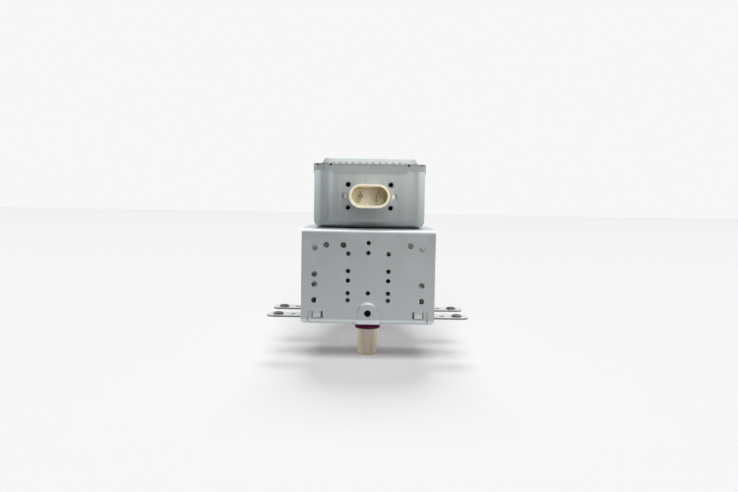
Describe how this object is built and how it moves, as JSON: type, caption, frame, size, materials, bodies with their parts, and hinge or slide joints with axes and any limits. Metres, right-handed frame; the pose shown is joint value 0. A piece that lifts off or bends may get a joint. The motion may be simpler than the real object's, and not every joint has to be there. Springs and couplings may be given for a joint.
{
  "type": "magnetron",
  "caption": "Microwave-oven magnetron: finned anode between ring magnets in a sheet-steel yoke, with a filter box and plug socket on top and the output antenna below.",
  "frame": {"origin": "on the antenna axis, in the mounting face under the ears of the flange plate", "axes": "+Z from the antenna to the filter box, -Y to the side with the plug socket, +X to the right seen from that side"},
  "size_m": [0.1306, 0.082, 0.1314],
  "materials": {
    "yoke_zinc": "zinc-plated sheet, satin",
    "plate_zinc": "zinc-plated sheet, satin",
    "box_steel": "deep-drawn plated sheet, satin",
    "lid_steel": "pressed plated sheet, satin",
    "rivet_steel": "plated",
    "socket_plastic": "moulded cream resin",
    "brown_ceramic": "fired ceramic",
    "terminal_tin": "tinned",
    "enamelled_copper": "enamelled wire",
    "ferrite": "sintered, matt",
    "copper": "bare",
    "iron": "pressed",
    "seal_alloy": "plated",
    "white_ceramic": "fired alumina",
    "purple_ceramic": "fired alumina",
    "tungsten": "drawn",
    "cap_steel": "drawn, lightly tinted",
    "wire_mesh": "knitted wire",
    "fin_aluminium": "pressed sheet"
  },
  "bodies": {
    "root": {"yoke_frame": "yoke_zinc", "flange_plate": "plate_zinc", "filter_box": "box_steel", "filter_lid": "lid_steel", "box_rivets": "rivet_steel", "connector_shroud": "socket_plastic", "capacitor_plate": "plate_zinc", "capacitor_ceramic": "brown_ceramic", "capacitor_case": "socket_plastic", "terminal_left": "terminal_tin", "terminal_right": "terminal_tin", "choke_coil_left": "enamelled_copper", "choke_coil_right": "enamelled_copper", "choke_core_left": "ferrite", "choke_core_right": "ferrite", "upper_magnet": "ferrite", "lower_magnet": "ferrite", "anode_shell": "copper", "strap_upper_inner": "copper", "strap_upper_outer": "copper", "strap_lower_inner": "copper", "strap_lower_outer": "copper", "pole_piece_upper": "iron", "pole_piece_lower": "iron", "cathode_seal": "seal_alloy", "output_seal": "seal_alloy", "stem_ceramic": "white_ceramic", "stem_terminal_left": "terminal_tin", "stem_terminal_right": "terminal_tin", "centre_lead": "tungsten", "side_lead": "tungsten", "filament": "tungsten", "end_hat_upper": "tungsten", "end_hat_lower": "tungsten", "output_ceramic": "purple_ceramic", "antenna_lead": "copper", "exhaust_seal": "seal_alloy", "exhaust_tube": "copper", "antenna_cap": "cap_steel", "gasket": "wire_mesh", "vane_1": "copper", "vane_2": "copper", "vane_3": "copper", "vane_4": "copper", "vane_5": "copper", "vane_6": "copper", "vane_7": "copper", "vane_8": "copper", "vane_9": "copper", "vane_10": "copper", "fin_1": "fin_aluminium", "fin_2": "fin_aluminium", "fin_3": "fin_aluminium", "fin_4": "fin_aluminium", "fin_5": "fin_aluminium"}
  },
  "joints": []
}
